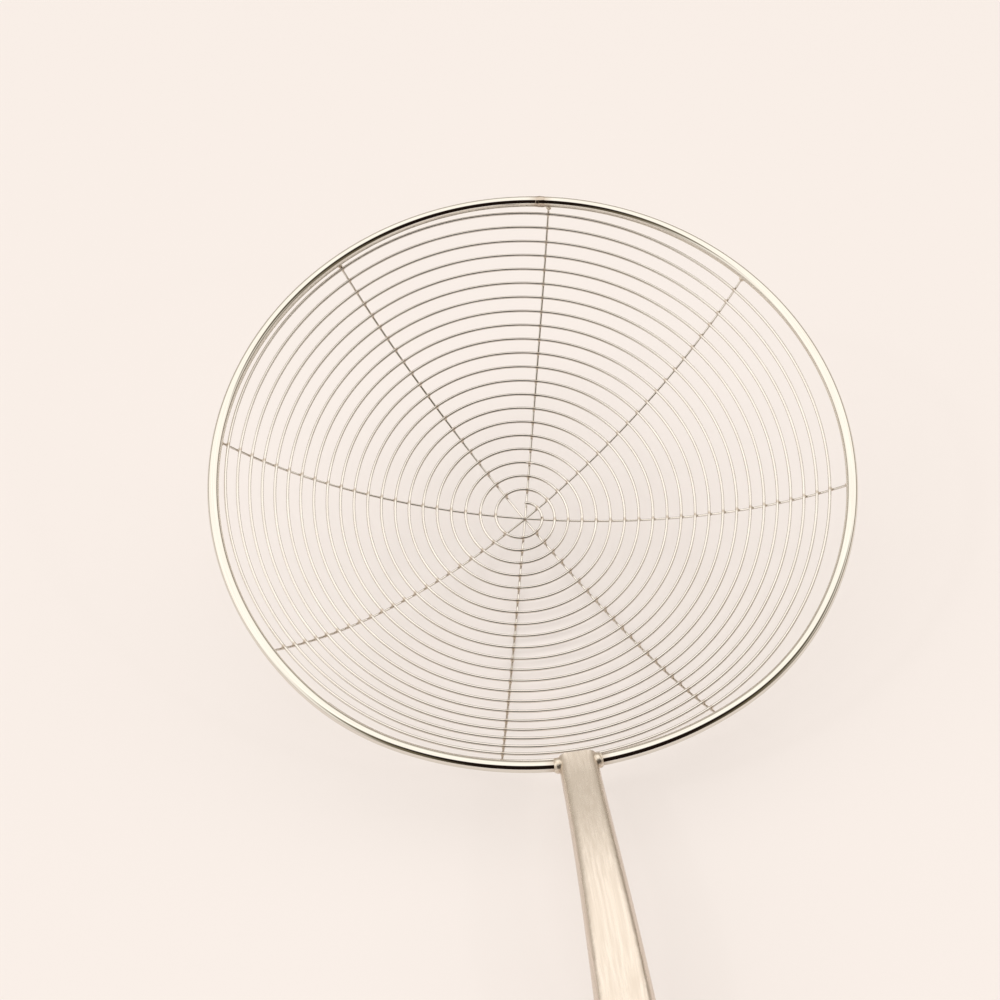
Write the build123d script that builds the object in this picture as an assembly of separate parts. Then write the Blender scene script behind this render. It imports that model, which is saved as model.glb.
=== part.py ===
from build123d import *
import math
import os

import numpy

# A spider skimmer: a shallow basket of wound wire on four crossed ribs, in a heavy round rim,
# with a hollow handle. Millimetres. It is built with the rim's plane level and the handle along -Y,
# and turned at the end to the way it lies on a table, on its basket and the tip of its handle.

# Rim: a round rod bent to a ring, measured over its outside, and pressed a little flat at the handle.
rim_diameter = 200.0
rim_rod = 3.5
rim_press = 3.2                 # how far the ring is pressed in where the handle goes on
shoulder_share = 0.815          # radius of the two tighter bends beside the flattened front, of the ring's
shoulder_angle = 50.0           # from the handle to where the ring is round again
press_fade = 3                  # power by which the basket takes up that flattening from the hub outwards
seam_bead = 0.15                # how far the ring's own ground weld stands proud of the rod
seam_width = 3.0
seam_from_rib = 3.0             # along the rod, from the far rib to that weld

# Ribs: four wires from rim to rim. The first lies directly under the spiral, the others below it.
rib_wire = 0.8
basket_depth = 48.3             # from the ring's middle plane down to the first rib's middle
hub_off = 3.9                   # from the ring's middle to the hub, where the ribs cross
hub_off_angle = 112.0
rib_drop = 0.9                  # how far under the rod's middle a rib's line meets the rod
rib_press_share = 0.5           # step from rib to rib at the hub, of a rib, as the weld presses them together
rib_angles = ((-11.4, 167.1), (37.0, 210.2), (78.6, 256.8), (122.6, 296.2))
far_rib_angle = rib_angles[2][0]
rib_shares = (-1.0, -0.7, -0.3, 0.15, 0.6, 1.0)     # where its pairs of arcs meet, foot to foot, hub at 0
rib_bead = 0.4                  # how far a rib's end weld stands out round the wire

# Spiral: one wire on the inside of the ribs, wound clockwise outwards, a little off the hub.
spiral_wire = 1.0
spiral_start = 5.3              # from the hub to the wire's inner end, along the basket
spiral_start_angle = 79.0
spiral_turns = 21.59
spiral_pitch = 4.86
spiral_lean = 1.9               # how far the turns' middle lies off the hub
spiral_lean_angle = 156.0
lean_onset_share = 0.4          # turns before the start at which the lean would be nothing
lean_growth_share = 1.4         # turns over which the lean comes in
outer_lean = 1.2                # how far the last turn's middle has moved on, to follow the rim
outer_lean_angle = -80.0
end_run = 2.5                   # how far the wire's outer end runs out to the rod it is welded to
end_run_turns = 0.15
settling = 0.4                  # how softly the wire comes to lie against the rod
steps_per_turn = 4              # pairs of arcs in a turn at the hub
spiral_step = 40.0              # length of such a pair further out
crossing_gap = 0.08             # between the spiral and the ribs, where the real ones are spot welded
around_hub_share = 3.2          # half a turn at the hub, of the start's distance from it

# Handle: a tube with straight sides and round edges, flattened at both ends.
handle_angle = -90.0            # round the rim, where the handle goes on
handle_wall = 0.9
handle_length = 250.0           # from the rod's middle to the tip, along the tube
handle_rise = 30.0              # degrees above the rim's plane at the rim
handle_bend = 16.0              # degrees by which the bend lowers it again
neck_length = 25.0              # straight, before the bend
bend_radius = 150.0
mouth_lap = 0.4                 # how far the mouth reaches past the rod on the basket's side
neck_width = 11.3
grip_width = 18.0
grip_thickness = 11.0
grip_start = 140.0
grip_end = 178.0
flat_start = 226.0
flat_width = 16.5
crimp_gap = 0.3                 # what is left between the walls where the tip is pressed flat
hang_hole = 6.0                 # diameter
hang_hole_edge = 5.5            # from the hole's rim to the tip
handle_bead = 0.6               # how far the weld beads stand proud of the rod
handle_bead_width = 1.4         # how far along the rod they reach from the tube
bead_round_share = 0.8          # a bead's rounded edge, of its thickness
neck_sections = 9
tip_sections = 6

seat_gap = 0.02                 # between a bead or the handle and the rod, and the spiral's end and the rod
overrun = 2.0                   # how far cutting solids run past what they cut
samples = 90                    # points on a curve when a size is worked out from it

rim_radius = (rim_diameter - rim_rod) / 2
rod_radius = rim_rod / 2
rib_radius = rib_wire / 2
rib_press = rib_wire * rib_press_share
wire_radius = spiral_wire / 2
spiral_inset = rib_radius + wire_radius + crossing_gap
mouth = -(rod_radius + mouth_lap)
neck_thickness = rim_rod + 2 * (handle_wall + seat_gap)
flat_thickness = 2 * handle_wall + crimp_gap


# The rim's middle line: the ring, the shoulders inside it and a front arc that meets both shoulders.
shoulder_radius = rim_radius * shoulder_share
shoulder_across = (rim_radius - shoulder_radius) * math.sin(math.radians(shoulder_angle))
shoulder_ahead = (rim_radius - shoulder_radius) * math.cos(math.radians(shoulder_angle))
front_reach = rim_radius - rim_press
front_step = front_reach - shoulder_radius
shoulder_square = shoulder_across ** 2 + shoulder_ahead ** 2
front_behind = (shoulder_square - front_step ** 2) / (2 * (front_step - shoulder_ahead))
front_radius = front_reach + front_behind
front_slope = math.atan2(shoulder_across, shoulder_ahead + front_behind)
front_angle = math.degrees(math.atan2(front_radius * math.sin(front_slope),
                                      front_radius * math.cos(front_slope) - front_behind))


def around(radius, angle, height=0.0):
    """A point at this radius and angle about the ring's axis."""
    return Vector(radius * math.cos(math.radians(angle)), radius * math.sin(math.radians(angle)), height)


def signed(angle):
    """The same direction as an angle of at most half a turn either way."""
    return (angle + 180) % 360 - 180


def rim_reach(angle):
    """From the ring's axis to the rod's middle line in this direction."""
    off = math.radians(abs(signed(angle - handle_angle)))
    if off >= math.radians(shoulder_angle):
        return rim_radius
    if off >= math.radians(front_angle):
        off -= math.radians(shoulder_angle)
        ahead = rim_radius - shoulder_radius
        return ahead * math.cos(off) + math.sqrt(shoulder_radius ** 2 - (ahead * math.sin(off)) ** 2)
    return math.sqrt(front_radius ** 2 - (front_behind * math.sin(off)) ** 2) - front_behind * math.cos(off)


def rim_point(angle, height=0.0):
    return around(rim_reach(angle), angle, height)


def rod(path, radius):
    """A round wire along a path."""
    return sweep(Plane(origin=path @ 0, z_dir=path % 0) * Circle(radius), path=path)


def rim_line():
    """The rod's middle line as four arcs, beginning and ending beside the handle."""
    offs = (front_angle, shoulder_angle, 360 - shoulder_angle, 360 - front_angle, 360 + front_angle)
    angles = [handle_angle + off for off in offs]
    return Wire([ThreePointArc(rim_point(first), rim_point((first + last) / 2), rim_point(last))
                 for first, last in zip(angles, angles[1:])])


hub_foot = around(hub_off, hub_off_angle)


def rim_from_hub(angle):
    """How far the rod's middle line is from the hub in this direction, seen from above."""
    seen = angle
    for _ in rib_shares:
        span = rim_point(seen) - hub_foot
        seen += signed(angle - math.degrees(math.atan2(span.Y, span.X)))
    return span.length


def ring_from_hub(angle):
    """The same distance if the ring were round."""
    off = math.radians(angle - hub_off_angle)
    return math.sqrt(rim_radius ** 2 - (hub_off * math.sin(off)) ** 2) - hub_off * math.cos(off)


def dip_radius(span, sagitta):
    """Radius of the arc that leaves the hub level and rises by the sagitta over this span."""
    return (span ** 2 + sagitta ** 2) / (2 * sagitta)


def basket_reach(angle, sagitta):
    """Length of that arc from the hub to the rim's foot in this direction."""
    span = rim_from_hub(angle)
    radius = dip_radius(span, sagitta)
    return radius * math.atan2(span, radius - sagitta)


def basket_point(along, angle, sagitta, inset=0.0):
    """A point of the basket this far from the hub, moved inwards by the inset.

    Near the hub the basket is round, and towards the rim it follows the flattened front.
    """
    pressed = rim_from_hub(angle) - ring_from_hub(angle)
    span = ring_from_hub(angle) + pressed * (along / basket_reach(angle, sagitta)) ** press_fade
    radius = dip_radius(span, sagitta)
    height = radius - (radius - inset) * math.cos(along / radius) - sagitta - rib_drop
    return hub_foot + around((radius - inset) * math.sin(along / radius), angle, height)


def rib_sagitta(level):
    """How far each rib dips, from its feet to the hub."""
    return basket_depth - rib_drop + level * rib_press


def rib_point(level, share):
    """A point on a rib's middle line: -1 and 1 are its feet and 0 the hub, through which it runs smoothly."""
    ways = [rim_point(angle) - hub_foot for angle in rib_angles[level]]
    first, second = (math.degrees(math.atan2(way.Y, way.X)) for way in ways)
    bend = signed(second - first - 180) / 2 * (1 - abs(share))
    angle = first + bend if share < 0 else second - bend
    return basket_point(abs(share) * basket_reach(angle, rib_sagitta(level)), angle, rib_sagitta(level))


def biarc(start, start_way, end, end_way):
    """Two arcs that join two points and follow the direction given at each of them."""
    span = end - start
    both = start_way + end_way
    spread = 2 * (1 - start_way.dot(end_way))
    along = span.dot(both)
    arm = (math.sqrt(along ** 2 + spread * span.dot(span)) - along) / spread
    first_arm = start + start_way * arm
    last_arm = end - end_way * arm
    joint = (first_arm + last_arm) / 2
    joint_way = (last_arm - first_arm).normalized()
    return [Edge.make_tangent_arc(start, start_way, joint), Edge.make_tangent_arc(joint, joint_way, end)]


def biarcs(point, places):
    """Arcs that follow a curve, a function from a number to a point, from each number to the next."""
    small = (places[-1] - places[0]) / (samples * len(places))
    ways = [(point(place + small) - point(place - small)).normalized() for place in places]
    edges = []
    for step in range(len(places) - 1):
        edges += biarc(point(places[step]), ways[step], point(places[step + 1]), ways[step + 1])
    return edges


def rib_line(level):
    """One rib's middle line from foot to foot."""
    return Wire(biarcs(lambda share: rib_point(level, share), rib_shares))


def ribs(ring, lines):
    """The four ribs: each is notched by the one above it and ends in a saddle on the rod."""
    wires = [rod(line, rib_radius) for line in lines]
    made = [wires[0] - ring]
    for above, wire in zip(wires, wires[1:]):
        made.append(wire - ring - above)
    return made


def spiral_angle(turn):
    return spiral_start_angle - 360 * turn


def lean_at(turn):
    """The part of the distance from the hub that comes from winding off centre."""
    share = 1 - math.exp(-(turn + lean_onset_share) / lean_growth_share)
    first = spiral_lean * share * math.cos(math.radians(spiral_angle(turn) - spiral_lean_angle))
    outer_share = turn / spiral_turns
    return first + outer_lean * outer_share * math.cos(math.radians(spiral_angle(turn) - outer_lean_angle))


def rod_margin():
    """How far short of the rim's foot the spiral's middle is when the wire touches the rod."""
    rim_wire = rim_line()
    angle = spiral_angle(spiral_turns)
    whole = basket_reach(angle, rib_sagitta(0))
    apart = rod_radius + wire_radius + 2 * seat_gap
    margin = 0.0
    while rim_wire.distance_to(basket_point(whole - margin, angle, rib_sagitta(0), spiral_inset)) < apart:
        margin += seat_gap
    return margin


spiral_margin = rod_margin()


def spiral_reach(turn):
    """How far from the hub the wire is after this many turns: wound evenly until it meets the rod."""
    ending = max(turn - spiral_turns + end_run_turns, 0) / end_run_turns
    wound = spiral_start + spiral_pitch * turn + lean_at(turn) + end_run * ending ** 2
    room = basket_reach(spiral_angle(turn), rib_sagitta(0)) - spiral_margin
    return room - settling * math.log1p(math.exp((room - wound) / settling))


def spiral_point(turn):
    """The wire's middle after this many turns, just inside the ribs."""
    return basket_point(spiral_reach(turn), spiral_angle(turn), rib_sagitta(0), spiral_inset)


def spiral_places():
    """The numbers of turns between which the spiral is drawn with a pair of arcs."""
    places = [0.0]
    while places[-1] < spiral_turns:
        step = spiral_step / (2 * math.pi * spiral_reach(places[-1]))
        places.append(places[-1] + min(step, 1 / steps_per_turn))
    return [place * spiral_turns / places[-1] for place in places]


def handle_plane(along):
    """A plane square to the tube this far along it: straight, then bent, then straight again."""
    rise = math.radians(handle_rise)
    bend = math.radians(handle_bend)
    origin = rim_point(handle_angle)
    bent = min(max(along - neck_length, 0), bend_radius * bend)
    straight = along - bent
    turned = bent / bend_radius
    neck = min(along, neck_length)
    way = Vector(0, -math.cos(rise - turned), math.sin(rise - turned))
    first_way = Vector(0, -math.cos(rise), math.sin(rise))
    bend_out = Vector(0, -1, 0) * (bend_radius * (math.sin(rise) - math.sin(rise - turned)))
    bend_up = Vector(0, 0, 1) * (bend_radius * (math.cos(rise - turned) - math.cos(rise)))
    place = origin + first_way * neck + bend_out + bend_up + way * (straight - neck)
    return Plane(origin=place, x_dir=Vector(1, 0, 0), z_dir=way)


def eased(share):
    """Goes from 0 to 1 and leaves and arrives level."""
    return (1 - math.cos(math.pi * min(max(share, 0), 1))) / 2


def handle_size(along):
    """The tube's outer width and thickness this far along it."""
    swell = eased((along - mouth) / (grip_start - mouth))
    shrink = eased((along - grip_end) / (flat_start - grip_end))
    width = neck_width + swell * (grip_width - neck_width) + shrink * (flat_width - grip_width)
    thickness = neck_thickness + swell * (grip_thickness - neck_thickness)
    thickness += shrink * (flat_thickness - grip_thickness)
    return width, thickness


def handle_stations():
    """Where the tube's cross-sections stand."""
    neck = [mouth + (grip_start - mouth) * step / neck_sections for step in range(neck_sections + 1)]
    tip = [grip_end + (flat_start - grip_end) * step / tip_sections for step in range(tip_sections + 1)]
    return neck + tip


def oval(along, inset):
    """The tube's cross-section, drawn in by this much all round."""
    width, thickness = handle_size(along)
    return handle_plane(along) * SlotOverall(width - 2 * inset, thickness - 2 * inset)


def tube_body(inset):
    return loft([oval(along, inset) for along in handle_stations()])


def tip_plane():
    """The plane of the pressed tip's middle, with its x along the tube."""
    start = handle_plane(flat_start)
    return Plane(origin=start.origin, x_dir=start.z_dir, z_dir=start.y_dir)


def hole_place():
    return tip_plane() * Pos(handle_length - flat_start - hang_hole_edge - hang_hole / 2, 0)


def tip_plate():
    """The tip, pressed flat, with a round end and the hole that it hangs by."""
    length = handle_length - flat_start
    square_length = length - flat_width / 2
    plate = extrude(oval(flat_start, 0), length, dir=handle_plane(flat_start).z_dir)
    round_end = Pos(square_length, 0) * Circle(flat_width / 2)
    square_part = Pos(square_length / 2, 0) * Rectangle(square_length, flat_width)
    outline = extrude(tip_plane() * (round_end + square_part), flat_thickness, both=True)
    hole = hole_place() * Cylinder(hang_hole / 2, 2 * overrun + flat_thickness)
    return (plate & outline) - hole


def handle(ring):
    """The hollow tube with its pressed tip. Its mouth is slipped over the rod, which notches its sides."""
    return tube_body(0) - tube_body(handle_wall) + tip_plate() - ring


def sleeve(middle, radius, first_angle, last_angle, thickness):
    """A short round collar that fits the rim's rod where it bends about this middle with this radius."""
    section = Circle(rod_radius + thickness) - Circle(rod_radius + seat_gap)
    start = Plane(origin=middle + around(radius, first_angle), z_dir=around(1, first_angle + 90))
    collar = revolve(start * section, axis=Axis(middle, (0, 0, 1)), revolution_arc=last_angle - first_angle)
    rounds = collar.edges().filter_by(GeomType.CIRCLE)
    outer = rounds.filter_by(lambda edge: abs(edge.radius - rod_radius - thickness) < seat_gap)
    return fillet(outer, (thickness - seat_gap) * bead_round_share)


def seam_weld():
    """The ring's own weld, a low band round the rod beside the far rib."""
    angle = far_rib_angle + math.degrees(seam_from_rib / rim_radius)
    half = math.degrees(seam_width / 2 / rim_radius)
    return sleeve(Vector(0, 0, 0), rim_radius, angle - half, angle + half, seam_bead)


def handle_weld(side):
    """The bead where the rod goes into one side of the flattened tube, -1 or 1 for its left or right."""
    inner = side * math.degrees((neck_width / 2 - handle_bead_width) / front_radius)
    outer = side * math.degrees((neck_width / 2 + handle_bead_width) / front_radius)
    first, last = sorted((handle_angle + inner, handle_angle + outer))
    middle = around(-front_behind, handle_angle)
    return sleeve(middle, front_radius, first, last, handle_bead) - tube_body(0)


def rib_end_beads(ring, wires, lines):
    """A small bead round each end of each rib, where it meets the rod."""
    made = []
    for wire, line, angles in zip(wires, lines, rib_angles):
        for end, angle in enumerate(angles):
            foot = line @ end
            way = (line % end) * (1 - 2 * end)
            root = foot + way * math.sqrt(rod_radius ** 2 - (foot - rim_point(angle)).length ** 2)
            seat = Plane(origin=root, x_dir=around(1, angle + 90), z_dir=way)
            made.append(seat * Sphere(rib_radius + rib_bead) - ring - wire)
    return made


def turned_height(point, tilt):
    return point.Y * math.sin(tilt) + point.Z * math.cos(tilt)


def basket_bottom(tilt):
    """The height of the basket's lowest point once everything is turned by this angle."""
    return min(turned_height(point, tilt) for point in rib_points) - rib_radius


def handle_bottom(tilt):
    """The height of the tube's lowest point once everything is turned by this angle."""
    lowest = math.inf
    for step in range(samples + 1):
        along = handle_length * step / samples
        place = handle_plane(along)
        thickness = handle_size(along)[1]
        lowest = min(lowest, turned_height(place.origin - place.y_dir * (thickness / 2), tilt),
                     turned_height(place.origin + place.y_dir * (thickness / 2), tilt))
    return lowest


def rest_tilt():
    """The angle at which the basket and the handle's tip both touch the table."""
    low, high = 0.0, math.pi / 4
    for _ in range(samples):
        middle = (low + high) / 2
        if handle_bottom(middle) > basket_bottom(middle):
            low = middle
        else:
            high = middle
    return (low + high) / 2


def turned_reach(point, tilt):
    return point.Y * math.cos(tilt) - point.Z * math.sin(tilt)


def resting(tilt):
    """The move from the level rim to the table: tilt, then set down with the footprint centred."""
    tip = handle_plane(handle_length)
    corners = [tip.origin + tip.y_dir * (side * flat_thickness / 2) for side in (1, -1)]
    front = min(turned_reach(corner, tilt) for corner in corners)
    back = rim_radius * math.cos(tilt) + rod_radius
    return Pos(0, -(front + back) / 2, -basket_bottom(tilt)) * Rot(math.degrees(tilt), 0, 0)


def report_spiral(edges):
    """Prints the spiral's length, its tightest bend and its least gap to itself, measured on points."""
    points = []
    along = []
    length = 0.0
    for edge in edges:
        count = math.ceil(edge.length / spiral_wire)
        points += [tuple(edge @ (step / count)) for step in range(count)]
        along += [length + edge.length * step / count for step in range(count)]
        length += edge.length
    points = numpy.array(points)
    along = numpy.array(along)
    least = math.inf
    for point, here in zip(points, along):
        others = points[along > here + around_hub_share * spiral_start]
        if len(others):
            least = min(least, numpy.linalg.norm(others - point, axis=1).min())
    print(f"spiral: {spiral_turns} turns, length {length:.0f}, "
          f"tightest bend {min(edge.radius for edge in edges):.2f}, "
          f"least gap to itself {least - spiral_wire:.2f}")


ring = rod(rim_line(), rod_radius)
rib_lines = [rib_line(level) for level in range(len(rib_angles))]
rib_solids = ribs(ring, rib_lines)
spiral_edges = biarcs(spiral_point, spiral_places())
report_spiral(spiral_edges)

nodes = {
    "rim_ring": ring,
    "rim_seam_weld": seam_weld(),
    "spiral_wire": rod(Wire(spiral_edges), wire_radius),
    "rib_end_welds": Compound(children=rib_end_beads(ring, rib_solids, rib_lines)),
    "handle_tube": handle(ring),
    "handle_weld_left": handle_weld(-1),
    "handle_weld_right": handle_weld(1),
}
for number, solid in enumerate(rib_solids, start=1):
    nodes[f"rib_wire_{number}"] = solid

rib_points = [rib_point(level, step / samples) for level in range(len(rib_angles))
              for step in range(-samples, samples + 1)]
tilt = rest_tilt()
place = resting(tilt)
os.makedirs("parts", exist_ok=True)
for name, shape in nodes.items():
    export_step(place * shape, f"parts/{name}.step")
hole = place * hole_place()
print(f"tilt {math.degrees(tilt):.2f} degrees, rim's middle at {place.position}")
print(f"hanging hole at {hole.position}, axis {Plane(hole).z_dir}")
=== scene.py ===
import math

import bpy
import numpy as np
from mathutils import Matrix, Vector


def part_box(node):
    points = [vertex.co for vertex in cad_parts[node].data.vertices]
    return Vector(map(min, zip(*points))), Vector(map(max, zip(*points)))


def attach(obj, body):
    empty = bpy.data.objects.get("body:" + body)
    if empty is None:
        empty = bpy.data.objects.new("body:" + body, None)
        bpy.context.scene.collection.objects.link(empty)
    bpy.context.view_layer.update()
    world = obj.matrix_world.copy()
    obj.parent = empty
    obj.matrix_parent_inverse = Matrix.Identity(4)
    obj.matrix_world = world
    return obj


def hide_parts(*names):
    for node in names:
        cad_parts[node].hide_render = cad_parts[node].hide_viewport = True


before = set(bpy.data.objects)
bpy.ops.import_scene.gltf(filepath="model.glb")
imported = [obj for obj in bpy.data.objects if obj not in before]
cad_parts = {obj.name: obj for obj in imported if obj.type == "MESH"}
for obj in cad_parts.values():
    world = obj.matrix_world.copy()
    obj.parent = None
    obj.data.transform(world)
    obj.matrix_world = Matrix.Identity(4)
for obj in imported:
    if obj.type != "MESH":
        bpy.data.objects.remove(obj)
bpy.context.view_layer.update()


scene = bpy.context.scene
scene.view_settings.view_transform = "Standard"

# Sizes in millimetres, in the skimmer's level frame: ring in the XY plane, handle along -Y.
FULL = 2 * math.pi
RING = 98.25                    # from the ring's middle to the rod's middle line
ROD = 1.75                      # half the rod's thickness, and below it the ribs' and the wire's
RIB = 0.4
WIRE = 0.5
PRESS = 3.2                     # how far the ring is pressed in at the handle
SHOULDER = 0.815 * RING         # the radius of the ring's arcs on both sides of the pressed part
SHOULDER_ANGLE = math.radians(50.0)
HANDLE_ANGLE = math.radians(-90.0)
HANDLE_HALF = 5.65              # half the handle's width at the rod
DEPTH = 48.3                    # from the ring's plane down to the highest rib at the hub
DROP = 0.9                      # from the ring's plane down to the ribs' feet
RIB_STEP = 0.4                  # from one rib down to the next at the hub
INSET = RIB + WIRE + 0.08       # from the highest rib's middle line in to the spiral's
HUB_OFF, HUB_SIDE = 3.9, math.radians(112.0)
HUB = HUB_OFF * np.array([math.cos(HUB_SIDE), math.sin(HUB_SIDE), 0.0])
# Where the two feet of each rib stand on the ring, in degrees.
RIB_ANGLES = ((-11.4, 167.1), (37.0, 210.2), (78.6, 256.8), (122.6, 296.2))
SEAM_ASIDE = 3.0                # from the far rib's foot to the seam
SEAM_ANGLE = math.radians(RIB_ANGLES[2][0]) + SEAM_ASIDE / RING

# The spiral: where it starts, two leans of its turns off the hub, its last bend and its room.
TURNS = 21.59
PITCH = 4.86
START_ANGLE = 79.0              # in degrees
START_REACH = 5.3               # from the hub to the inner end
EARLY_LEAN, EARLY_SIDE = 1.9, math.radians(156.0)
EARLY_TURNS, EARLY_HEAD = 1.4, 0.4      # the turns it takes to grow, and how many it is ahead
LATE_LEAN, LATE_SIDE = 1.2, math.radians(-80.0)
END_TURNS, END_BEND = 0.15, 2.5         # the last part of a turn bends out to the rod
ROD_ROOM, SOFTNESS = 1.56, 0.4          # kept free beside the rod's middle, with a soft limit

# The front arc of the ring touches both shoulders from inside.
ahead = (RING - SHOULDER) * math.cos(SHOULDER_ANGLE)
across = (RING - SHOULDER) * math.sin(SHOULDER_ANGLE)
short = RING - PRESS - SHOULDER
FRONT_BEHIND = (across ** 2 + ahead ** 2 - short ** 2) / (2 * (short - ahead))
FRONT = RING - PRESS + FRONT_BEHIND
slope = math.atan2(across, ahead + FRONT_BEHIND)
FRONT_ANGLE = math.atan2(FRONT * math.sin(slope), FRONT * math.cos(slope) - FRONT_BEHIND)

# The ring's box gives the tilt at which the skimmer lies, and where its middle is.
low, high = (np.array(corner) * 1000 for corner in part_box("rim_ring"))
TILT = math.atan2(high[2] - low[2] - 2 * ROD, high[1] - low[1] - 2 * ROD)
TILT_SIN, TILT_COS = math.sin(TILT), math.cos(TILT)
TURN = np.array([[1, 0, 0], [0, TILT_COS, -TILT_SIN], [0, TILT_SIN, TILT_COS]])
MIDDLE = np.array([0, high[1] - ROD - RING * TILT_COS, high[2] - ROD - RING * TILT_SIN])


def placed(points):
    """Level-frame millimetres to the frame's metres: turned by the tilt about X, then moved."""
    return (points @ TURN.T + MIDDLE) * 0.001


def around(radius, angle, height=0.0):
    """(r cos a, r sin a, h) for arrays of radius, angle in radians and height."""
    radius, angle, height = np.broadcast_arrays(radius, angle, height)
    return np.stack([radius * np.cos(angle), radius * np.sin(angle), height * 1.0], axis=-1)


def signed(angle):
    """The same angle between -pi and pi."""
    return (angle + math.pi) % FULL - math.pi


def unit(vectors):
    return vectors / np.linalg.norm(vectors, axis=-1, keepdims=True)


def rim_reach(angle):
    """The ring's polar radius at an angle.

    On an arc of radius R with its centre m away it is m cos a + sqrt(R^2 - (m sin a)^2).
    """
    off = np.abs(signed(np.asarray(angle, float) - HANDLE_ANGLE))
    beside = off - SHOULDER_ANGLE
    m = RING - SHOULDER
    shoulder = m * np.cos(beside) + np.sqrt(SHOULDER ** 2 - (m * np.sin(beside)) ** 2)
    front = np.sqrt(FRONT ** 2 - (FRONT_BEHIND * np.sin(off)) ** 2) - FRONT_BEHIND * np.cos(off)
    pressed = np.where(off >= FRONT_ANGLE, shoulder, front)
    return np.where(off >= SHOULDER_ANGLE, RING, pressed)


def rim_from_hub(angle):
    """Distance from the hub to the ring in a direction; the ring's own angle is turned to fit."""
    angle = np.asarray(angle, float)
    own = angle
    for _ in range(6):
        reached = around(rim_reach(own), own) - HUB
        own = own + signed(angle - np.arctan2(reached[..., 1], reached[..., 0]))
    return np.linalg.norm(reached, axis=-1)


def ring_from_hub(angle):
    """The same for the ring as if it weren't pressed: sqrt(R^2 - (h sin a)^2) - h cos a."""
    off = angle - math.atan2(HUB[1], HUB[0])
    away = np.linalg.norm(HUB)
    return np.sqrt(RING ** 2 - (away * np.sin(off)) ** 2) - away * np.cos(off)


def basket_reach(angle, sagitta):
    """Arc length from the hub to under the rod: R atan(reach / (R - sagitta))."""
    reach = rim_from_hub(angle)
    radius = (reach ** 2 + sagitta ** 2) / (2 * sagitta)
    return radius * np.arctan2(reach, radius - sagitta)


def basket_point(along, angle, sagitta, inset=0.0):
    """Points of the bowl, by arc length from the hub and direction.

    Each arc leaves the hub level. Its reach goes over from the round ring's to the pressed
    ring's with the cube of the share of its length.
    """
    plain = ring_from_hub(angle)
    share = along / basket_reach(angle, sagitta)
    reach = plain + (rim_from_hub(angle) - plain) * share ** 3
    radius = (reach ** 2 + sagitta ** 2) / (2 * sagitta)
    height = radius - (radius - inset) * np.cos(along / radius) - sagitta - DROP
    return HUB + around((radius - inset) * np.sin(along / radius), angle, height)


def sagitta_of(level):
    """How deep a rib's arc is; the highest rib is level 0."""
    return DEPTH - DROP + level * RIB_STEP


def rib_azimuth(level, share):
    """A rib's direction from the hub; it turns evenly, so the rib runs straight over the hub."""
    angles = np.radians(RIB_ANGLES[level])
    ways = around(rim_reach(angles), angles) - HUB
    first, second = np.arctan2(ways[:, 1], ways[:, 0])
    bend = signed(second - first - math.pi) / 2 * (1 - np.abs(share))
    return np.where(share < 0, first + bend, second - bend)


def rib_point(level, share):
    """A rib's middle line from foot -1 over the hub 0 to foot 1."""
    share = np.asarray(share, float)
    angle = rib_azimuth(level, share)
    reach = basket_reach(angle, sagitta_of(level))
    return basket_point(np.abs(share) * reach, angle, sagitta_of(level))


def spiral_azimuth(turn):
    return np.radians(START_ANGLE - 360.0 * turn)


def spiral_reach(turn):
    """Even winding plus two leans off the hub, as arc length from the hub.

    The early lean grows with 1 - exp(-turns), the late one evenly. Near the rod a soft minimum
    holds the wire back: room - s log(1 + exp((room - r) / s)).
    """
    angle = spiral_azimuth(turn)
    grown = 1 - np.exp(-(turn + EARLY_HEAD) / EARLY_TURNS)
    early = EARLY_LEAN * grown * np.cos(angle - EARLY_SIDE)
    late = LATE_LEAN * turn / TURNS * np.cos(angle - LATE_SIDE)
    ending = np.maximum(turn - TURNS + END_TURNS, 0) / END_TURNS
    wound = START_REACH + PITCH * turn + (early + late) + END_BEND * ending ** 2
    room = basket_reach(angle, sagitta_of(0)) - ROD_ROOM
    return room - SOFTNESS * np.log1p(np.exp((room - wound) / SOFTNESS))


def spiral_point(turn):
    """The spiral's middle line, on the highest rib's arcs moved inwards by INSET."""
    return basket_point(spiral_reach(turn), spiral_azimuth(turn), sagitta_of(0), INSET)


def rib_share(turn, level):
    """How far out the spiral is at a turn, as a share of a rib's half length."""
    return spiral_reach(turn) / basket_reach(spiral_azimuth(turn), sagitta_of(level))


def build(name, points, faces, corners, values=None):
    """A smooth mesh from points in the level frame, turned outwards.

    Its signed volume is the sum of a . (b x c) over its triangles.
    """
    split = [np.stack([face[:, 0], face[:, k], face[:, k + 1]], 1)
             for face in faces for k in range(1, face.shape[1] - 1)]
    a, b, c = (points[np.concatenate(split)[:, k]] for k in range(3))
    if np.einsum("ij,ij->i", a, np.cross(b, c)).sum() < 0:
        faces = [face[:, ::-1] for face in faces]
        corners = [corner[:, ::-1] for corner in corners]
    mesh = bpy.data.meshes.new(name)
    rows = [row for face in faces for row in face.tolist()]
    mesh.from_pydata(placed(points).tolist(), [], rows)
    mesh.polygons.foreach_set("use_smooth", np.ones(len(mesh.polygons), bool))
    chart = mesh.uv_layers.new(name="length_and_girth")
    flat = np.concatenate([corner.reshape(-1) for corner in corners])
    chart.data.foreach_set("uv", flat.astype(np.float32))
    for key, value in (values or {}).items():
        field = mesh.attributes.new(key, "FLOAT", "POINT")
        field.data.foreach_set("value", value.astype(np.float32))
    made = bpy.data.objects.new(name, mesh)
    scene.collection.objects.link(made)
    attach(made, "root")
    return made


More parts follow.
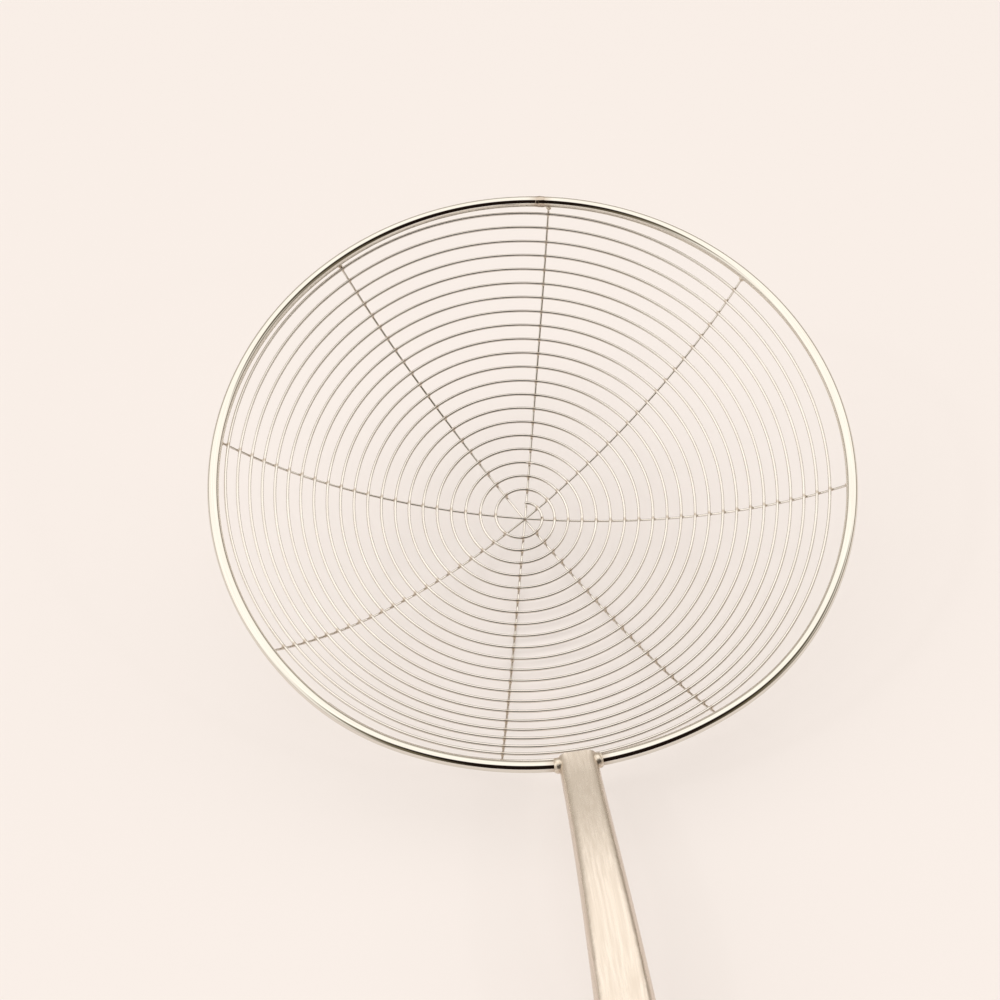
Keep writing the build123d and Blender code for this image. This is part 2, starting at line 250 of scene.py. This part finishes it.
def cells(rows, columns):
    """The row, column and next column of every cell of a grid whose rows are closed rings."""
    i, j = (n.ravel() for n in np.meshgrid(np.arange(rows), np.arange(columns), indexing="ij"))
    return i, j, (j + 1) % columns


def lofted(name, grid, along, girth, closed=False, values=None):
    """A surface over closed rings of points, closed at its ends by a point each or to itself.

    The chart holds the length along and the way round, both in millimetres.
    """
    n, m, _ = grid.shape
    i, j, j1 = cells(n if closed else n - 1, m)
    i1 = (i + 1) % n
    v = girth / m
    points = grid.reshape(-1, 3)
    faces = [np.stack([i * m + j, i * m + j1, i1 * m + j1, i1 * m + j], 1)]
    chart = [(along[i], j), (along[i], j + 1), (along[i + 1], j + 1), (along[i + 1], j)]
    corners = [np.stack([np.stack([u, k * v], 1) for u, k in chart], 1)]
    if not closed:
        points = np.concatenate([points, grid[:1].mean(1), grid[-1:].mean(1)])
        j = np.arange(m)
        j1 = (j + 1) % m
        for ring, pole, order in ((0, n * m, (j1, j)), (n - 1, n * m + 1, (j, j1))):
            fan = [np.full(m, pole), ring * m + order[0], ring * m + order[1]]
            faces.append(np.stack(fan, 1))
            flat = np.stack([np.full(m, along[ring]), j * v], 1)
            corners.append(np.stack([flat, flat, flat], 1))
        values = {key: np.concatenate([value, value[:1], value[-1:]])
                  for key, value in (values or {}).items()}
    return build(name, points, faces, corners, values)


def lengths(path, closed=False):
    """The length along a path up to each of its points, and round to the first if closed."""
    points = np.concatenate([path, path[:1]]) if closed else path
    return np.concatenate([[0.0], np.cumsum(np.linalg.norm(np.diff(points, axis=0), axis=1))])


def ring_ways(path, upward, sides, closed=False):
    """The directions cos v side + sin v up square to a path, with `up` nearest to `upward`."""
    if closed:
        way = unit(np.roll(path, -1, 0) - np.roll(path, 1, 0))
    else:
        way = unit(np.gradient(path, axis=0))
    side = unit(np.cross(way, upward))
    up = np.cross(side, way)
    v = np.arange(sides) * FULL / sides
    return np.cos(v)[None, :, None] * side[:, None] + np.sin(v)[None, :, None] * up[:, None]


def rounded_off(path, radius, upward, values):
    """Three more rings at each end of a wire, r cos w thick and r sin w further out."""
    w = np.radians([84.0, 60.0, 35.0])
    way = unit(np.gradient(path, axis=0))
    first = path[0] - way[0] * radius[0] * np.sin(w)[:, None]
    last = path[-1] + way[-1] * radius[-1] * np.sin(w)[::-1, None]
    shrink = np.concatenate([np.cos(w), np.ones(len(path)), np.cos(w)[::-1]])

    def longer(rows):
        return np.concatenate([rows[:1].repeat(len(w), 0), rows, rows[-1:].repeat(len(w), 0)])

    values = {key: longer(value) for key, value in values.items()}
    return np.concatenate([first, path, last]), longer(radius) * shrink, longer(upward), values


def wire(name, path, radius, sides, upward, to_weld, closed=False):
    """A round wire: p(u) + r (cos v side(u) + sin v up(u)), with its distance to the welds."""
    radius = np.broadcast_to(radius, len(path))
    values = {"to_weld": to_weld}
    if not closed:
        path, radius, upward, values = rounded_off(path, radius, upward, values)
    grid = path[:, None] + radius[:, None, None] * ring_ways(path, upward, sides, closed)
    values = {key: np.repeat(value, sides) for key, value in values.items()}
    return lofted(name, grid, lengths(path, closed), FULL * float(radius.max()), closed, values)


def waves(x, seed, scale, terms=5):
    """A smooth random curve: sines with wavelengths around `scale` and a spread of about one."""
    drawn = np.random.default_rng(seed)
    long = scale * drawn.uniform(0.6, 2.4, terms)
    starts = drawn.uniform(0, FULL, terms)
    curve = sum(np.sin(FULL * x / length + start) for length, start in zip(long, starts))
    return curve / math.sqrt(terms / 2)


def to_nearest(along, marks):
    """Each point's distance along a wire to the nearest of the sorted marks."""
    after = np.searchsorted(marks, along).clip(1, len(marks) - 1)
    return np.minimum(np.abs(along - marks[after - 1]), np.abs(along - marks[after]))


# Where the spiral crosses the ribs: level of the rib, side of the hub, turn, share of the rib.
# Each guess of the turn moves by the angle that is still missing. The very ends are left out.
crossings = []
for level in range(4):
    for side in (-1, 1):
        turn = np.arange(-1, 23) + 0.5
        for _ in range(12):
            share = np.minimum(rib_share(turn, level), 1.0)
            off = signed(spiral_azimuth(turn) - rib_azimuth(level, side * share))
            turn = turn + off / FULL
        turn = np.unique(np.round(turn, 5))
        turn = turn[(turn > 0.02) & (turn < TURNS - 0.01)]
        crossings.append((level, side, turn, np.minimum(rib_share(turn, level), 0.99)))
crossing_turns = np.sort(np.concatenate([turn for _, _, turn, _ in crossings]))

# How finely the wires are drawn. The spiral's rings of points stand 1.6 mm apart, and near the
# hub a tenth of its reach.
WIRE_SIDES, ROD_SIDES, RIB_RINGS, ROD_RINGS, WIDEST = 12, 40, 261, 900, 1.6
fine = np.linspace(0, TURNS, 60001)
spacing = np.minimum(WIDEST, 0.1 * (START_REACH + PITCH * fine[1:]))
rings = np.concatenate([[0], np.cumsum(np.diff(lengths(spiral_point(fine))) / spacing)])
turns = np.interp(np.linspace(0, rings[-1], int(rings[-1])), rings, fine)
turns = np.unique(np.concatenate([turns, crossing_turns]))
line = spiral_point(turns)
along = lengths(line)
deep = sagitta_of(0)
bowl_middle = np.array([0, 0, (RING ** 2 + deep ** 2) / (2 * deep) - DEPTH])
WANDER = 0.006                  # how much the wire's radius wanders, over some 30 mm
drawn_radius = WIRE + WANDER * waves(along, 3, 30)
spiral = wire("spiral_wire_drawn", line, drawn_radius, WIRE_SIDES, bowl_middle - line,
              to_nearest(along, np.interp(crossing_turns, turns, along)))
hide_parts("spiral_wire")

# The ribs, each from foot to foot, welded at the crossings, the hub and the feet.
ribs = []
for level in range(4):
    met = [side * share for row, side, _, share in crossings if row == level]
    shares = np.unique(np.concatenate([np.linspace(-1, 1, RIB_RINGS), *met]))
    line = rib_point(level, shares)
    along = lengths(line)
    marks = np.sort(np.interp(np.concatenate([*met, [-1, 0, 1]]), shares, along))
    rib = wire(f"rib_{level + 1}_drawn", line, RIB, WIRE_SIDES, bowl_middle - line,
               to_nearest(along, marks))
    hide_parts(f"rib_wire_{level + 1}")
    ribs.append(rib)

# The ring, one closed rod, joined at the handle and at its seam.
angles = np.arange(ROD_RINGS) * FULL / ROD_RINGS
ring_line = around(rim_reach(angles), angles)
to_handle = np.abs(signed(angles - HANDLE_ANGLE)) - HANDLE_HALF / RING
to_joint = np.minimum(to_handle, np.abs(signed(angles - SEAM_ANGLE))) * RING
level_up = np.tile([0.0, 0.0, 1.0], (len(angles), 1))
ring = wire("ring_polished", ring_line, ROD, ROD_SIDES, level_up, np.maximum(to_joint, 0), True)
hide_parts("rim_ring")


def lump(middle, axes, sizes, rows, columns, seed, rough):
    """A lumpy ellipsoid: m + (1 + noise) (a sin t cos p, b sin t sin p, c cos t)."""
    t = np.linspace(0, math.pi, rows)[:, None]
    p = np.arange(columns)[None] * FULL / columns
    ball = np.stack([np.sin(t) * np.cos(p), np.sin(t) * np.sin(p), np.cos(t) + 0 * p], -1)
    drawn = np.random.default_rng(seed)
    bumps = sum(np.sin(ball @ drawn.normal(size=3) * 3.0 + drawn.uniform(0, FULL))
                for _ in range(4))
    return middle + (ball * (1 + rough * bumps[..., None]) * sizes) @ axes


def joined(name, grids):
    """Several closed lumps in one mesh, given as grids whose first and last rows are poles."""
    points, quads, caps, start = [], [], [], 0
    for grid in grids:
        n, m = grid.shape[0] - 2, grid.shape[1]
        points += [grid[1:-1].reshape(-1, 3), grid[0, :1], grid[-1, :1]]
        i, j, j1 = cells(n - 1, m)
        quad = [i * m + j, i * m + j1, (i + 1) * m + j1, (i + 1) * m + j]
        quads.append(np.stack(quad, 1) + start)
        j = np.arange(m)
        j1 = (j + 1) % m
        last = (n - 1) * m
        caps.append(np.stack([np.full(m, n * m), j1, j], 1) + start)
        caps.append(np.stack([np.full(m, n * m + 1), last + j, last + j1], 1) + start)
        start += n * m + 2
    faces = [np.concatenate(quads), np.concatenate(caps)]
    corners = [np.zeros(face.shape + (2,)) for face in faces]
    return build(name, np.concatenate(points), faces, corners)


# A spot weld at each crossing: it bridges the gap between the wires and is sunk into both.
NUGGET = np.array([0.64, 0.55])         # half its size along the rib and across it
NUGGET_SUNK = 0.1
lumps = []
for level, side, turn, share in crossings:
    on_rib = rib_point(level, side * share)
    on_wire = spiral_point(turn)
    after, before = (rib_point(level, side * (share + small)) for small in (0.002, -0.002))
    rib_way = unit(after - before)
    wire_way = unit(spiral_point(turn + 0.001) - spiral_point(turn - 0.001))
    for k in range(len(turn)):
        bridge_way = unit(np.cross(rib_way[k], wire_way[k]))
        axes = np.stack([rib_way[k], unit(np.cross(bridge_way, rib_way[k])), bridge_way])
        seed = level * 100 + k + (50 if side > 0 else 0)
        size = np.random.default_rng(seed).uniform(0.9, 1.12)
        bridge = np.linalg.norm(on_wire[k] - on_rib[k]) / 2 + NUGGET_SUNK
        sizes = np.array([*(NUGGET * size), bridge])
        lumps.append(lump((on_rib[k] + on_wire[k]) / 2, axes, sizes, 6, 8, seed, 0.03))
nuggets = joined("spot_welds", lumps)

# The beads at the ribs' feet, which sit on the rod.
BEAD = np.array([0.85, 0.78, 0.75])     # half its size along the rod, across it and along the rib
BEAD_SUNK = 0.35
lumps = []
for level in range(4):
    for side in (-1, 1):
        foot, inner = rib_point(level, np.array([side * 1.0, side * 0.99]))
        way = unit(inner - foot)
        flank = np.cross(way, [0, 0, 1])
        axes = np.stack([unit(flank), unit(np.cross(way, flank)), way])
        seed = 500 + 7 * level + side
        lumps.append(lump(foot + way * (ROD - BEAD_SUNK), axes, BEAD, 15, 22, seed, 0.035))
beads = joined("rib_foot_welds", lumps)
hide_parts("rib_end_welds")


COLLAR_RINGS, COLLAR_SIDES, COLLAR_SUNK = 25, 48, 0.03


def collar(name, middle, near, far, height, seed, rough):
    """A weld round the rod, from `near` to `far` millimetres beside a middle angle.

    Its radius is a little under the rod's plus height sin(w)^0.6, with w from 0 to pi, and noise.
    """
    reach = float(rim_reach(middle))
    share = np.linspace(0, 1, COLLAR_RINGS)
    first, last = middle + near / reach, middle + far / reach
    angle = first + (last - first) * share
    path = around(rim_reach(angle), angle)
    v = np.arange(COLLAR_SIDES) * FULL / COLLAR_SIDES
    drawn = np.random.default_rng(seed)
    ripples = [(drawn.integers(1, 6), drawn.uniform(0.5, 3), drawn.uniform(0, FULL))
               for _ in range(6)]
    noise = sum(np.sin(k * v[None] + c * FULL * share[:, None] + s) for k, c, s in ripples) / 2.5
    swell = np.sin(math.pi * share)[:, None] ** 0.6
    radius = ROD - COLLAR_SUNK + height * swell * (1 + rough * noise)
    ways = ring_ways(path, np.tile([0.0, 0.0, 1.0], (COLLAR_RINGS, 1)), COLLAR_SIDES)
    return lofted(name, path[:, None] + radius[..., None] * ways, lengths(path), FULL * ROD)


# The welds on both sides of the handle, and the ring's own seam, which is ground nearly flush.
NEAR, FAR, WELD, SEAM_HALF, SEAM = 4.3, 7.0, 0.56, 1.6, 0.14
left_weld = collar("handle_weld_left_bead", HANDLE_ANGLE, -FAR, -NEAR, WELD, 11, 0.12)
right_weld = collar("handle_weld_right_bead", HANDLE_ANGLE, NEAR, FAR, WELD, 12, 0.12)
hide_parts("handle_weld_left")
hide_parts("handle_weld_right")
seam = collar("ring_seam_weld", SEAM_ANGLE, -SEAM_HALF, SEAM_HALF, SEAM, 5, 0.3)
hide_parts("rim_seam_weld")


def linear(code):
    """An sRGB hex colour as linear red, green, blue and an alpha of one."""
    parts = [int(code[k:k + 2], 16) / 255 for k in (0, 2, 4)]
    return [x / 12.92 if x <= 0.04045 else ((x + 0.055) / 1.055) ** 2.4 for x in parts] + [1.0]


def node(tree, kind, inputs, output=0, **settings):
    """Adds a shader node and gives one of its outputs.

    Its inputs are plain values or other nodes' outputs, in order or by name or number.
    """
    made = tree.nodes.new(kind)
    for name, value in settings.items():
        setattr(made, name, value)
    for key, value in inputs.items() if isinstance(inputs, dict) else enumerate(inputs):
        if isinstance(value, bpy.types.NodeSocket):
            tree.links.new(value, made.inputs[key])
        else:
            made.inputs[key].default_value = value
    return made.outputs[output]


# Kinds of node that come up often. A fade goes smoothly from one value to another.
MATH, FADE, MIX = "ShaderNodeMath", "ShaderNodeMapRange", "ShaderNodeMix"
SMOOTH = {"interpolation_type": "SMOOTHSTEP"}
COLOURS = {"data_type": "RGBA", "output": 2}


def metal(name, colour, darker, rough, rougher, scale, coordinates, depth, tint=None, tinted=1.0):
    """Steel with streaks: one stretched noise moves colour, roughness and bump.

    The noise's scale is in waves a millimetre on the chart, and in waves a metre on Object
    coordinates. The attribute to_weld, in millimetres, blends in half of the heat tint beside
    the welds, as far as `tinted`.
    """
    material = bpy.data.materials.new(name)
    material.use_nodes = True
    tree = material.node_tree
    shader = tree.nodes["Principled BSDF"]
    shader.inputs["Metallic"].default_value = 1.0
    place = node(tree, "ShaderNodeTexCoord", {}, coordinates)
    moved = node(tree, "ShaderNodeMapping", {"Vector": place, "Scale": scale})
    streaks = node(tree, "ShaderNodeTexNoise",
                   {"Vector": moved, "Scale": 1.0, "Detail": 6.0, "Roughness": 0.6})
    share = node(tree, FADE, [streaks, 0.3, 0.7, 0.0, 1.0], **SMOOTH)
    mixed = node(tree, MIX, {0: share, 6: linear(darker), 7: linear(colour)}, **COLOURS)
    if tint:
        weld = node(tree, "ShaderNodeAttribute", {}, "Fac", attribute_name="to_weld")
        heat = node(tree, FADE, [weld, 0.0, tinted, 0.5, 0.0], **SMOOTH)
        mixed = node(tree, MIX, {0: heat, 6: mixed, 7: linear(tint)}, **COLOURS)
    tree.links.new(mixed, shader.inputs["Base Color"])
    dull = node(tree, FADE, [streaks, 0.3, 0.7, rougher, rough], **SMOOTH)
    tree.links.new(dull, shader.inputs["Roughness"])
    bump = node(tree, "ShaderNodeBump", {"Height": streaks, "Distance": depth, "Strength": 1.0})
    tree.links.new(bump, shader.inputs["Normal"])
    return material


# Polished stainless rod: nearly a mirror. Faint polishing lines, 0.3 mm wide and 20 mm long, run
# along it, and it is straw-coloured within 5 mm of its joints.
polished_rod = metal("polished_stainless_rod", "E4E0D8", "DBD6CD", 0.04, 0.09,
                     (0.05, 3.0, 1.0), "UV", 2e-6, "A08468", 5.0)
# Bright drawn stainless wire: die lines run along it, 0.2 mm wide and 12 mm long, and it is
# straw-coloured within a millimetre of each weld.
drawn_wire = metal("bright_drawn_stainless_wire", "E8E4DE", "D5CFC8", 0.03, 0.08,
                   (0.08, 6.0, 1.0), "UV", 2e-6, "A8927A", 1.0)
# Satin stainless tube: brushed lengthwise, which spreads the reflections. Real grain is too fine
# to show, so it is drawn 0.7 mm wide and 50 mm long, with finer grain in it.
satin_tube = metal("satin_brushed_stainless_tube", "E3D8CC", "D6CABD", 0.24, 0.32,
                   (1500.0, 20.0, 1500.0), "Object", 3e-6)
# Blank weld metal: as it set, lumpy and dull, with pale and straw patches of about a millimetre.
weld_metal = metal("blank_weld_metal", "EAE2D6", "C8B9A6", 0.28, 0.42,
                   (900.0, 900.0, 900.0), "Object", 3e-5)

for piece in (spiral, *ribs):
    piece.data.materials.append(drawn_wire)
for piece in (ring, seam):
    piece.data.materials.append(polished_rod)
for piece in (nuggets, beads, left_weld, right_weld):
    piece.data.materials.append(weld_metal)
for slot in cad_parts["handle_tube"].material_slots:
    slot.material = satin_tube

# A pale floor, a disc 12 m across. The camera and the metal see it half as paint and half as
# paper lit evenly, so its shadow is faint.
BACKGROUND = linear("F7EDE5")
EDGES, FLOOR_RADIUS = 96, 6.0
edge = around(FLOOR_RADIUS, np.linspace(0, FULL, EDGES + 1)[:-1])
mesh = bpy.data.meshes.new("floor")
mesh.from_pydata([(0, 0, 0), *edge.tolist()], [],
                 [(0, k + 1, (k + 1) % EDGES + 1) for k in range(EDGES)])
floor = bpy.data.objects.new("floor", mesh)
scene.collection.objects.link(floor)
paper = bpy.data.materials.new("warm_white_paper")
paper.use_nodes = True
tree = paper.node_tree
matt = tree.nodes["Principled BSDF"]
matt.inputs["Base Color"].default_value = linear("EAE5E4")
matt.inputs["Roughness"].default_value = 1.0
matt.inputs["Specular IOR Level"].default_value = 0.0
glow = node(tree, "ShaderNodeEmission", {"Color": BACKGROUND, "Strength": 1.0})
ray_kind = node(tree, "ShaderNodeLightPath", {}).node.outputs
direct = node(tree, MATH, [ray_kind["Is Camera Ray"], ray_kind["Is Glossy Ray"]],
              operation="MAXIMUM")
half = node(tree, MATH, [direct, 0.5], operation="MULTIPLY")
both = node(tree, "ShaderNodeMixShader", [half, matt.outputs[0], glow])
tree.links.new(both, tree.nodes["Material Output"].inputs["Surface"])
floor.data.materials.append(paper)

# The studio, by the direction of a ray: bright overhead, a beige wall behind, low furniture all
# round, and on the camera's side a dark room, black in the middle and olive beside it.
OVERHEAD, OVERHEAD_MIRRORED = (1.75, 1.67, 1.58, 1), (1.41, 1.365, 1.295, 1)
WALL, FURNITURE = (0.65, 0.61, 0.54, 1), (0.35, 0.305, 0.245, 1)
BLACK, OLIVE = (0.014, 0.008, 0.006, 1), (0.19, 0.16, 0.105, 1)
CEILING, CEILING_SLANT, CEILING_FADE = 1.21, 0.30, (-0.10, 0.10)
HORIZON_FADE, BEHIND_FADE = (-0.12, -0.03), (2.25, 2.65)
ROOM_ASIDE, ROOM_FADE, OLIVE_FADE = 0.08, (0.55, 0.88), (0.30, 0.58)
FURNITURE_SLANT, FURNITURE_TOP, FURNITURE_FOOT = -0.14, (0.10, 0.30), (-0.05, 0.01)
world = bpy.data.worlds.new("studio")
scene.world = world
world.use_nodes = True
tree = world.node_tree
ray = node(tree, "ShaderNodeTexCoord", {}, "Generated")
x, y, z = node(tree, "ShaderNodeSeparateXYZ", [ray]).node.outputs[:3]
ray_kind = node(tree, "ShaderNodeLightPath", {}).node.outputs

# The angle in radians from the horizon on the camera's side, up and over to the one behind.
forward = node(tree, MATH, [y, -1.0], operation="MULTIPLY")
lifted = node(tree, MATH, [z, forward], operation="ARCTAN2")

# How dark it is: under the slanting ceiling, above the horizon, and less far to the sides.
ceiling = node(tree, MATH, [x, CEILING_SLANT, CEILING], operation="MULTIPLY_ADD")
over = node(tree, MATH, [lifted, ceiling], operation="SUBTRACT")
under = node(tree, FADE, [over, *CEILING_FADE, 1.0, 0.0], **SMOOTH)
above = node(tree, FADE, [lifted, *HORIZON_FADE, 0.0, 1.0], **SMOOTH)
aside = node(tree, MATH, [x, ROOM_ASIDE], operation="SUBTRACT")
aside = node(tree, MATH, [aside], operation="ABSOLUTE")
inside = node(tree, FADE, [aside, *ROOM_FADE, 1.0, 0.15], **SMOOTH)
dark = node(tree, MATH, [under, above], operation="MULTIPLY")
dark = node(tree, MATH, [dark, inside], operation="MULTIPLY")
beside = node(tree, FADE, [aside, *OLIVE_FADE, 0.0, 1.0], **SMOOTH)
gloom = node(tree, MIX, {0: beside, 6: BLACK, 7: OLIVE}, **COLOURS)

# Everywhere else: the bright ceiling, the wall behind and the low band of furniture.
overhead = {0: ray_kind["Is Glossy Ray"], 6: OVERHEAD, 7: OVERHEAD_MIRRORED}
zenith = node(tree, MIX, overhead, **COLOURS)
behind = node(tree, FADE, [lifted, *BEHIND_FADE, 0.0, 1.0], **SMOOTH)
sky = node(tree, MIX, {0: behind, 6: zenith, 7: WALL}, **COLOURS)
slanted = node(tree, MATH, [x, FURNITURE_SLANT, z], operation="MULTIPLY_ADD")
band_top = node(tree, FADE, [slanted, *FURNITURE_TOP, 1.0, 0.0], **SMOOTH)
band_foot = node(tree, FADE, [z, *FURNITURE_FOOT, 0.0, 1.0], **SMOOTH)
band = node(tree, MATH, [band_top, band_foot], operation="MULTIPLY")
sky = node(tree, MIX, {0: band, 6: sky, 7: FURNITURE}, **COLOURS)
room = node(tree, MIX, {0: dark, 6: sky, 7: gloom}, **COLOURS)

# The camera itself sees the plain background.
light = node(tree, "ShaderNodeBackground", {"Color": room, "Strength": 1.0})
pale = node(tree, "ShaderNodeBackground", {"Color": BACKGROUND, "Strength": 1.0})
both = node(tree, "ShaderNodeMixShader", [ray_kind["Is Camera Ray"], light, pale])
world_output = next(made for made in tree.nodes if made.type == "OUTPUT_WORLD")
tree.links.new(both, world_output.inputs["Surface"])


BASKET_MIDDLE = Vector((0, 0.12, 0.03))


def lamp(name, place, size, power):
    """A round lamp that points at the basket's middle, and isn't mirrored in the metal."""
    data = bpy.data.lights.new(name, "AREA")
    data.shape = "DISK"
    data.size = size
    data.energy = power
    made = bpy.data.objects.new(name, data)
    made.location = place
    towards = BASKET_MIDDLE - Vector(place)
    made.rotation_euler = towards.to_track_quat("-Z", "Y").to_euler()
    made.visible_glossy = False
    scene.collection.objects.link(made)


# Two weak lamps throw the two faint rings of shadow, one to the right and one to the left.
lamp("lamp_left", (-1.32, -0.18, 1.44), 0.16, 2.0)
lamp("lamp_right", (0.596, -0.374, 0.570), 0.07, 0.4)

# The camera that the photograph was taken with, as worked out from the ring, the ribs and the
# spiral.
lens = bpy.data.cameras.new("camera")
lens.lens = 55.8
lens.sensor_width = 36.0
camera = bpy.data.objects.new("camera", lens)
right = Vector((0.99134, -0.11761, -0.05845))
up = Vector((0.12377, 0.68776, 0.71531))
way = Vector((0.04393, 0.71634, -0.69636))
turned = Matrix((right, up, -way)).transposed().to_4x4()
camera.matrix_world = Matrix.Translation((-0.032049, -0.227349, 0.379256)) @ turned
scene.collection.objects.link(camera)
scene.camera = camera
